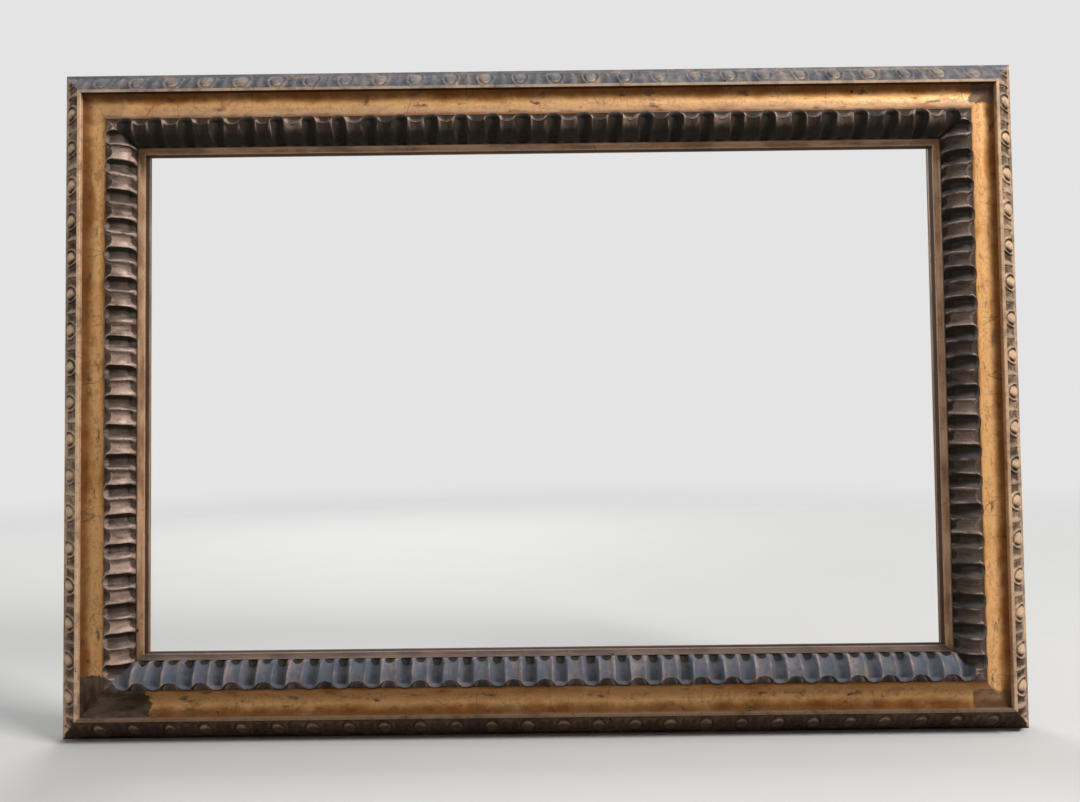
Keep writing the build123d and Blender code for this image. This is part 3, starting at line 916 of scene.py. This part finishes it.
def make_tarnish():
    """Metal that is bright in places and dulled in patches."""
    sockets = dict(Bright="Color", Dull="Color", Amount="Float")
    group, start, end = new_group("tarnish", sockets, dict(Color="Color", Dulled="Float", Height="Float"))
    place = place_on(group)
    patch = noise(group, place, 130.0, 5.0, 0.65)
    grit = noise(group, place, 1500.0, 3.0, 0.6)
    spread = times_plus(group, start["Amount"], 0.6, patch)
    dulled = remap(group, times_plus(group, grit, 0.25, spread), 0.75, 1.1)
    tint = blend_colours(group, dulled, start["Bright"], start["Dull"])
    wire(group, end, Color=tint, Dulled=dulled, Height=grit)
    return group


sawn_grain = make_sawn_grain()
tarnish = make_tarnish()


def make_wood(name, pale, dark, turned):
    """Raw wood whose grain runs along the first of the named axes of the frame."""
    material, tree, shader = new_material(name)
    axes = add_node(tree, "SeparateXYZ", {0: place_on(tree)}).outputs
    order = {place: axes[axis] for place, axis in enumerate(turned)}
    grain_place = add_node(tree, "CombineXYZ", order).outputs[0]
    wood = use_group(tree, sawn_grain, Place=grain_place, Pale=pale, Dark=dark)
    # Grime on the boards, and a little painted shade on their faces that look down
    soiled_and_shaded = use_group(
        tree, grime_dust_and_shade, Color=wood["Color"], Grime=umber, Dust=grey_dust, Hollow=0.05, Grime_Amount=0.6,
        Dust_Amount=0.5, Under_Amount=0.3,
    )
    worm = use_group(tree, worm_holes, Scale=55.0, Share=0.1)
    tint = blend_colours(tree, worm["Dark"], soiled_and_shaded["Color"], pinhole)
    rough = remap(tree, wood["Height"], 0.2, 0.8, 0.92, 0.7)
    height = times_plus(tree, worm["Height"], 2.0, wood["Height"])
    wire(tree, shader, Base_Color=tint, Roughness=rough, Normal=bump(tree, height, 0.5, 0.4))
    return material


def make_metal(name, bright, dull, amount, gloss, metal):
    """Small metal fitting, dulled with age."""
    material, tree, shader = new_material(name)
    aged = use_group(tree, tarnish, Bright=bright, Dull=dull, Amount=amount)
    rough = remap(tree, aged["Dulled"], 0.0, 1.0, gloss, 0.75)
    shine = remap(tree, aged["Dulled"], 0.0, 1.0, metal, 0.25)
    pitted = bump(tree, aged["Height"], 0.3, 0.1)
    wire(tree, shader, Base_Color=aged["Color"], Roughness=rough, Metallic=shine, Normal=pitted)
    return material


rail_wood = make_wood("rail_wood", colour(158, 124, 88), colour(98, 70, 46), "XYZ")
stile_wood = make_wood("stile_wood", colour(152, 118, 84), colour(94, 68, 45), "ZYX")
peg_wood = make_wood("peg_end_wood", colour(120, 90, 60), colour(66, 46, 30), "YXZ")
nail_iron = make_metal("nail_iron", colour(84, 76, 70), colour(92, 56, 36), 0.6, 0.5, 0.7)
hanger_brass = make_metal("hanger_brass", colour(196, 158, 88), colour(98, 76, 46), 0.35, 0.32, 0.95)
screw_steel = make_metal("screw_steel", colour(168, 164, 156), colour(92, 76, 64), 0.35, 0.35, 0.95)
fitting_finishes = {"hanger_brass": hanger_brass, "button_brass": hanger_brass, "screw_steel": screw_steel}

back_finishes = {
    "back_rail_top": rail_wood,
    "back_rail_bottom": rail_wood,
    "back_stile_left": stile_wood,
    "back_stile_right": stile_wood,
    "lap_pegs": peg_wood,
    "moulding_nails": nail_iron,
}
for node, finish in back_finishes.items():
    for place in frame["nodes"][node].material_slots:
        place.material = finish


# Back fittings: strap hangers, their rings, turn buttons and screws

strap_half_width = 6.0
strap_length = 50.0
strap_thickness = 1.6
strap_corner = 4.0
strap_screws = (28.0, 42.0)
eye_bore = 1.9
eye_sides = 48
ring_wire = 1.6
wire_sides = 20
ring_half_width = 11.0
ring_drop = 20.0
ring_corner = 2.0
button_radius = 6.0
button_tail = 7.0
button_reach = 24.0
button_plate = (0.1, 2.1)
button_bore = 1.85
button_grip = 2.2
screw_radius = 3.6
screw_edge = 0.5
screw_dome = 1.9
screw_shank = 1.75
screw_length = 15.0
shank_sides = 24
slot_half = 0.45
slot_depth = 1.1
edge_round = 0.35

joint_places = {joint["child"]: np.array(joint["pos_m"]) / MM for joint in frame["joints"]}


def seated(parts, origin, ahead):
    """Points (ahead, aside, out behind) and faces of a fitting, set in their place on the frame."""
    points, faces = parts
    behind = np.array([0.0, 1.0, 0.0])
    axes = np.stack([ahead, np.cross(behind, ahead), behind])
    return origin + points @ axes, faces


def skin(loops, ring=False):
    """Points and faces that join equal loops, closed on itself as a ring or by a face at each end."""
    count = len(loops[0])
    number = np.arange(len(loops) * count).reshape(len(loops), count)
    upper = np.roll(number, -1, axis=0) if ring else number[1:]
    lower = number if ring else number[:-1]
    faces = quads(lower, np.roll(lower, -1, axis=1), np.roll(upper, -1, axis=1), upper)
    if not ring:
        faces += [number[0, ::-1].tolist(), number[-1].tolist()]
    return np.concatenate(loops), faces


def joined(parts):
    """Points and faces of several parts as one."""
    points, faces, start = [], [], 0
    for part_points, part_faces in parts:
        points.append(part_points)
        faces += [[start + index for index in face] for face in part_faces]
        start += len(part_points)
    return np.concatenate(points), faces


def levelled(outline, height):
    """Flat outline raised to a height."""
    return np.column_stack([outline, np.full(len(outline), height)])


def plate_edges(low, high):
    """Inset and height of the loops round a plate with eased edges."""
    soft = edge_round * 0.3
    lower = [(edge_round, low), (soft, low + soft), (0.0, low + edge_round)]
    return lower + [(0.0, high - edge_round), (soft, high - soft), (edge_round, high)]


def strap_parts():
    """Strap: a round-ended strip and the eye rolled at its top, with the first axis down the strip."""

    def outline(inset):
        half = strap_half_width - inset
        inner = strap_half_width - strap_corner
        bend = strap_length - strap_corner
        lower = turned_arc((bend, inner), strap_corner - inset, 90, 0, 8)
        upper = turned_arc((bend, -inner), strap_corner - inset, 0, -90, 8)
        return np.concatenate([[(0, -half), (0, half)], lower, upper])

    strip = skin([levelled(outline(inset), height) for inset, height in plate_edges(0.0, strap_thickness)])
    bar = eye_bore + strap_thickness
    half = strap_half_width
    outside = [(bar - edge_round, -half), (bar, edge_round - half), (bar, half - edge_round)]
    inside = [(bar - edge_round, half), (eye_bore, half), (eye_bore, -half)]
    eye = []
    for radius, aside in outside + inside:
        rim = circle((0, bar), radius, eye_sides)
        eye.append(np.column_stack([rim[:, 0], np.full(eye_sides, aside), rim[:, 1]]))
    return joined([strip, skin(eye, ring=True)])


def ring_parts():
    """Loose ring: a straight bar and a bow bent from one wire, with the first axis down."""
    reach = ring_half_width - ring_corner
    bow = turned_arc((0, 0), 1.0, 0, 180, 40)
    bow = np.stack([ring_half_width * bow[:, 0], ring_corner + (ring_drop - ring_corner) * bow[:, 1]], axis=1)
    path = np.concatenate([
        np.stack([np.linspace(-reach, reach, 13), np.zeros(13)], axis=1)[:-1],
        turned_arc((reach, ring_corner), ring_corner, -90, 0, 8)[:-1],
        bow[:-1],
        turned_arc((-reach, ring_corner), ring_corner, 180, 270, 8)[:-1],
    ])
    ahead = np.roll(path, -1, axis=0) - np.roll(path, 1, axis=0)
    ahead /= np.hypot(*ahead.T)[:, None]
    outward = np.stack([ahead[:, 1], -ahead[:, 0]], axis=1)
    loops = []
    for middle, out in zip(path, outward):
        wire_turn = circle((0, 0), ring_wire, wire_sides)
        across = middle + wire_turn[:, :1] * out
        loops.append(np.column_stack([across[:, 1], across[:, 0], wire_turn[:, 1]]))
    return skin(loops, ring=True)


def button_parts():
    """Turn button: a round-ended plate with a bore for its screw."""

    def outline(inset):
        radius = button_radius - inset
        tail = turned_arc((button_radius - button_tail, 0), radius, 90, 270, 24)
        tip = turned_arc((button_reach - button_radius, 0), radius, -90, 90, 24)
        return np.concatenate([tail, tip])

    loops = [levelled(outline(inset), height) for inset, height in plate_edges(*button_plate)]
    sight_line = outline(edge_round)
    bore = button_bore * sight_line / np.hypot(*sight_line.T)[:, None]
    loops += [levelled(bore, button_plate[1]), levelled(bore, button_plate[0])]
    return skin(loops, ring=True)


def screw_parts(grip, turn):
    """Slotted round-head screw that clamps a plate of this thickness, its slot turned by an angle."""
    open_angle = math.degrees(math.asin(slot_half / screw_radius))
    rim = turned_arc((0, 0), screw_radius, open_angle, 180 - open_angle, 18)
    lip = np.stack([np.linspace(rim[0, 0], rim[-1, 0], len(rim)), np.full(len(rim), slot_half)], axis=1)
    floor_height = grip + screw_edge + screw_dome - slot_depth
    rows = [levelled(lip, floor_height)]
    for share in np.linspace(0, 1, 6):
        flat = lip + (rim - lip) * share
        dome = screw_dome * (1 - (flat**2).sum(axis=1) / screw_radius**2)
        rows.append(np.column_stack([flat, grip + screw_edge + dome]))
    rows.append(levelled(rim, grip))
    half = np.array(rows)
    halves = np.concatenate([half, half * np.array([-1, -1, 1])], axis=1)
    levels, count = halves.shape[:2]
    number = np.arange(levels * count).reshape(levels, count)
    side = count // 2
    faces = []
    for first in (0, side):
        block = number[:, first:first + side]
        faces += quads(block[:-1, :-1], block[1:, :-1], block[1:, 1:], block[:-1, 1:])
    faces += [number[0].tolist(), number[-1, ::-1].tolist()]
    for one, other in ((side - 1, side), (count - 1, 0)):
        faces.append([number[0, one], number[-1, one], number[-1, other], number[0, other]])
    outline = circle((0, 0), screw_shank, shank_sides)
    shank = skin([levelled(outline, height) for height in (-screw_length, grip)])
    points, faces = joined([(halves.reshape(-1, 3), faces), shank])
    spin = math.radians(turn)
    turning = np.array([[math.cos(spin), math.sin(spin), 0], [-math.sin(spin), math.cos(spin), 0], [0, 0, 1]])
    return points @ turning, faces


def add_fitting(name, parts, body, node, slot):
    """Piece of the back that stands for a CAD node."""
    piece = build_mesh(name, *parts, crease=fitting_crease, merge=True)
    piece.data.materials.append(fitting_finishes[slot])
    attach(piece, body)
    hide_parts(node)


down = np.array([0.0, 0.0, -1.0])
driven = np.random.default_rng(86)
strap_screw_parts = []
for side in ("left", "right"):
    ring_body = f"hanger_ring_{side}"
    bar_place = joint_places[ring_body]
    strap_seat = bar_place * (1, 0, 1)
    strap = seated(strap_parts(), strap_seat, down)
    add_fitting(f"strap_{side}", strap, "frame", f"hanger_strap_{side}", "hanger_brass")
    ring = seated(ring_parts(), bar_place, down)
    add_fitting(f"ring_{side}", ring, ring_body, ring_body, "hanger_brass")
    for drop in strap_screws:
        screw = screw_parts(strap_thickness, driven.uniform(0, 180))
        strap_screw_parts.append(seated(screw, strap_seat + drop * down, down))
add_fitting("strap_screws", joined(strap_screw_parts), "frame", "hanger_screws", "screw_steel")

button_screw_parts = []
for body, place in joint_places.items():
    if not body.startswith("turn_button"):
        continue
    low, high = node_span(body)
    reach = (low + high) / 2 - place
    reach[1] = 0
    button = seated(button_parts(), place, reach / np.linalg.norm(reach))
    add_fitting(f"{body}_plate", button, body, body, "button_brass")
    screw = screw_parts(button_grip, driven.uniform(0, 180))
    button_screw_parts.append(seated(screw, place, down))
add_fitting("button_screws", joined(button_screw_parts), "frame", "turn_button_screws", "screw_steel")


# Camera at the photograph's place, turned by its small tilt and roll

image_width = 1080
focal_pixels = 850.0
camera_place = (-0.87, -1087.9, 377.62)
camera_right = Vector((0.99993, 0.00149, -0.01191)).normalized()
camera_ahead = Vector((-0.0011, 0.99948, 0.03237)).normalized()

camera = add_object("camera", bpy.data.cameras.new("camera"))
camera.data.sensor_width = 36.0
camera.data.lens = focal_pixels / image_width * camera.data.sensor_width
camera.data.clip_start = 0.01
camera_up = camera_right.cross(camera_ahead)
camera_turn = Matrix((camera_right, camera_up, -camera_ahead)).transposed().to_4x4()
camera.matrix_world = Matrix.Translation(Vector(camera_place) * MM) @ camera_turn
bpy.context.scene.camera = camera


# Pale floor and soft studio light


def background_ray(tree):
    """1 for what the camera sees, straight or mirrored, and 0 for the light that falls on the frame."""
    path = add_node(tree, "LightPath").outputs
    mirrored = calc(tree, "MAXIMUM", path["Is Glossy Ray"], path["Is Transmission Ray"])
    return calc(tree, "MAXIMUM", path["Is Camera Ray"], mirrored)


floor_radius = 9000.0
floor_sides = 96
floor_drop = 0.2


def make_floor():
    """Round, pale floor that fades out far from the frame."""
    rim = circle((0, 0), floor_radius, floor_sides)
    floor = build_mesh("floor", levelled(rim, -floor_drop), [list(range(floor_sides))])
    material, tree, shader = new_material("pale_floor")
    place = place_on(tree)
    tint = blend_colours(tree, noise(tree, place, 3.0), (0.45, 0.45, 0.44, 1), (0.48, 0.48, 0.47, 1))
    seen = background_ray(tree)
    far = add_node(tree, "VectorMath", {0: place}, operation="LENGTH").outputs["Value"]
    glow = times(tree, seen, remap(tree, far, 0.3, 3.5, 0.0, 0.32))
    haze = blend_colours(tree, glow, (0, 0, 0, 1), (1, 1, 1, 1))
    wire(tree, shader, Base_Color=tint, Roughness=0.7, Alpha=remap(tree, far, 0.6, 5.0, 1.0, 0.0))
    wire(tree, shader, Emission_Color=haze, Emission_Strength=1.0)
    floor.data.materials.append(material)


frame_middle = Vector((0, 0, frame_height / 2))


def add_lamp(name, place, size, power, tint):
    """Square soft box that looks at the middle of the frame, its place in millimetres."""
    data = bpy.data.lights.new(name, "AREA")
    data.size = size * MM
    data.energy = power
    data.color = tint
    lamp = add_object(name, data)
    lamp.location = Vector(place) * MM
    lamp.rotation_euler = (frame_middle - Vector(place)).to_track_quat("-Z", "Y").to_euler()


make_floor()
add_lamp("overhead_box", (300, -500, 2600), 2000, 28, (0.92, 0.96, 1.0))
add_lamp("right_box", (2100, -1500, 2850), 1000, 155, (1.0, 0.97, 0.94))
add_lamp("left_box", (-2300, -1200, 1200), 1100, 10, (1.0, 0.98, 0.95))
add_lamp("back_box", (-600, 2300, 1900), 1800, 45, (1.0, 1.0, 1.0))

world = bpy.data.worlds.new("studio")
world.use_nodes = True
bpy.context.scene.world = world
air = world.node_tree
seen = background_ray(air)
ambient = air.nodes["Background"]
wire(air, ambient.inputs, Color=(0.95, 0.97, 1.0, 1), Strength=0.11)
backdrop = add_node(air, "Background", {"Color": (0.86, 0.86, 0.86, 1), "Strength": 0.9})
choice = add_node(air, "MixShader", {0: seen, 1: ambient.outputs[0], 2: backdrop.outputs[0]})
air.links.new(choice.outputs[0], air.nodes["World Output"].inputs["Surface"])

bpy.context.scene.view_settings.view_transform = "Standard"
